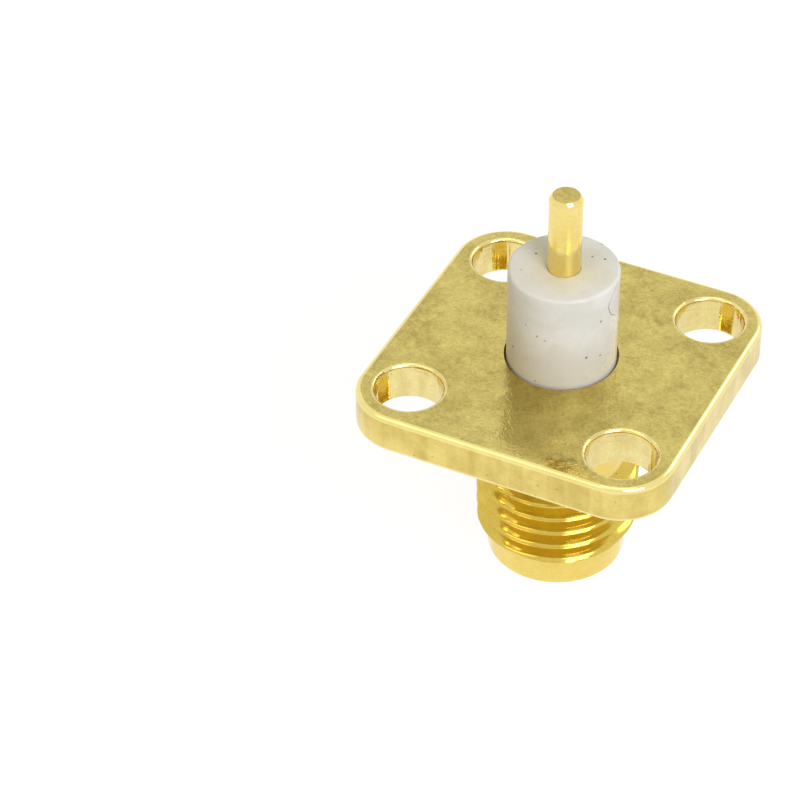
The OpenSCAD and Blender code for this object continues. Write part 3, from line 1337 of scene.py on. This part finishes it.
@dataclass
class Studio:
    """The floor, the lamps, the world and the camera."""

    floor_half: float = 0.6
    matt: float = 0.9
    shade: float = 0.16
    open_light: float = 0.5
    fade: tuple[float, float] = (0.02, 0.14)
    mouth_open: float = 0.0024
    world_grey: float = 0.22
    world_below: float = 0.9
    camera_place: tuple[float, float, float] = (0.03512, -0.08331, 0.08408)
    camera_forward: tuple[float, float, float] = (-0.3427, 0.6798, -0.6484)
    camera_right: tuple[float, float, float] = (0.8962, 0.4435, -0.0087)
    lens_mm: float = 138.8
    sensor_mm: float = 36.0
    clip: tuple[float, float] = (0.005, 5.0)
    lamp_aim: tuple[float, float, float] = (0.0, 0.0, 0.008)
    lamps: tuple[SoftBox, ...] = (
        SoftBox("key_lamp", 54.0, 38.0, 0.30, 0.16, 0.50, (0.98, 1.0, 1.06)),
        SoftBox("front_lamp", -40.0, 50.0, 0.30, 0.14, 0.10, (1.0, 0.70, 0.26)),
        SoftBox("back_lamp", 150.0, 34.0, 0.34, 0.16, 0.14),
        SoftBox("top_lamp", 0.0, 86.0, 0.30, 0.14, 0.10, (1.0, 0.94, 0.36)),
    )

    def build(self) -> None:
        """Builds everything round the object."""
        self.build_floor()
        self.build_world()
        for lamp in self.lamps:
            lamp.build(Vector(self.lamp_aim))
        self.build_camera()

    def build_floor(self) -> None:
        """Makes the white floor, which can't be seen from below and is open under the mouth."""
        material = bpy.data.materials.new("floor_white")
        material.use_nodes = True
        material.node_tree.nodes.clear()
        graph = Graph(material.node_tree)
        side = graph.add("ShaderNodeNewGeometry")
        matt = graph.add("ShaderNodeBsdfDiffuse", {"Color": opaque(self.matt)})
        shaded = graph.add("ShaderNodeBsdfDiffuse", {"Color": opaque(self.shade)})
        away = graph.distance(graph.add("ShaderNodeTexCoord").outputs["Object"], (0.0, 0.0, 0.0))
        share = self.shade * self.open_light
        level = graph.plus(graph.times(graph.ramp(away, *self.fade), share), 1.0 - share)
        white = graph.add("ShaderNodeEmission", {"Color": WHITE, "Strength": level})
        bright = graph.add("ShaderNodeAddShader", {0: shaded.outputs[0], 1: white.outputs[0]})
        face = graph.add("ShaderNodeMixShader", {0: seen(graph), 1: matt.outputs[0], 2: bright.outputs[0]})
        clear = graph.add("ShaderNodeBsdfTransparent")
        mouth = graph.math("LESS_THAN", away, self.mouth_open)
        gone = graph.math("MAXIMUM", side.outputs["Backfacing"], mouth)
        below = graph.add("ShaderNodeMixShader", {0: gone, 1: face.outputs[0], 2: clear.outputs[0]})
        graph.add("ShaderNodeOutputMaterial", {"Surface": below.outputs[0]})
        material.cycles.emission_sampling = "NONE"
        mesh = bpy.data.meshes.new("floor")
        half = self.floor_half
        corners = [(-half, -half, 0.0), (half, -half, 0.0), (half, half, 0.0), (-half, half, 0.0)]
        mesh.from_pydata(corners, [], [(0, 1, 2, 3)])
        mesh.materials.append(material)
        floor = bpy.data.objects.new("floor", mesh)
        bpy.context.scene.collection.objects.link(floor)

    def build_world(self) -> None:
        """Makes the world: white where it is seen, else an even grey light that is stronger from below."""
        world = bpy.data.worlds.new("studio_world")
        bpy.context.scene.world = world
        world.use_nodes = True
        world.node_tree.nodes.clear()
        graph = Graph(world.node_tree)
        height = graph.parts(graph.add("ShaderNodeTexCoord").outputs["Generated"])[2]
        down = graph.math("LESS_THAN", height, 0.0)
        grey = graph.math("MULTIPLY_ADD", down, self.world_below - self.world_grey, self.world_grey)
        light = graph.add("ShaderNodeBackground", {"Color": WHITE, "Strength": grey})
        white = graph.add("ShaderNodeBackground", {"Color": WHITE, "Strength": 1.0})
        both = graph.add("ShaderNodeMixShader", {0: seen(graph), 1: light.outputs[0], 2: white.outputs[0]})
        graph.add("ShaderNodeOutputWorld", {"Surface": both.outputs[0]})

    def build_camera(self) -> None:
        """Makes the camera, which stands to the right and above and looks past the object."""
        data = bpy.data.cameras.new("studio_camera")
        data.lens, data.sensor_width = self.lens_mm, self.sensor_mm
        data.clip_start, data.clip_end = self.clip
        camera = bpy.data.objects.new("studio_camera", data)
        forward = Vector(self.camera_forward).normalized()
        right = Vector(self.camera_right)
        right = (right - forward * right.dot(forward)).normalized()
        axes = Matrix((right, right.cross(forward), -forward)).transposed()
        camera.matrix_world = Matrix.Translation(self.camera_place) @ axes.to_4x4()
        bpy.context.scene.collection.objects.link(camera)
        bpy.context.scene.camera = camera


# --------------------------------------------------------------------------
# The whole jack
# --------------------------------------------------------------------------


def millimetres(node: str) -> tuple[Vector, Vector]:
    """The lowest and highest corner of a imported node, in millimetres."""
    low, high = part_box(node)
    return low / MM, high / MM


def settle(piece: bpy.types.Object, node: str) -> None:
    """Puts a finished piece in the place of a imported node.

    Args:
        piece: The finished piece.
        node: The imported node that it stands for.
    """
    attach(piece, ROOT_BODY)
    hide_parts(node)
    LOG.info("%s stands for %s", piece.name, node)


def main() -> None:
    """Builds the pieces and the studio in order."""
    logging.basicConfig(level=logging.INFO, format="%(name)s: %(message)s")
    effects = Effects()
    body_low, body_high = millimetres("body")
    rod_low, rod_high = millimetres("insulator")
    pin_low, pin_high = millimetres("center_contact")

    body = JackBody(width=body_high.x - body_low.x, height=body_high.z)
    settle(body.build(effects), "body")
    rod = InsulatorRod(start=rod_low.z, end=rod_high.z, outer_r=rod_high.x)
    settle(rod.build(effects), "insulator")
    contact = CentreContact(tip=pin_low.z, end=pin_high.z, face=rod_low.z, insulator_end=rod_high.z)
    settle(contact.build(effects), "center_contact")
    Studio().build()

    scene = bpy.context.scene
    scene.view_settings.view_transform = "Standard"


if __name__ == "__main__":
    main()
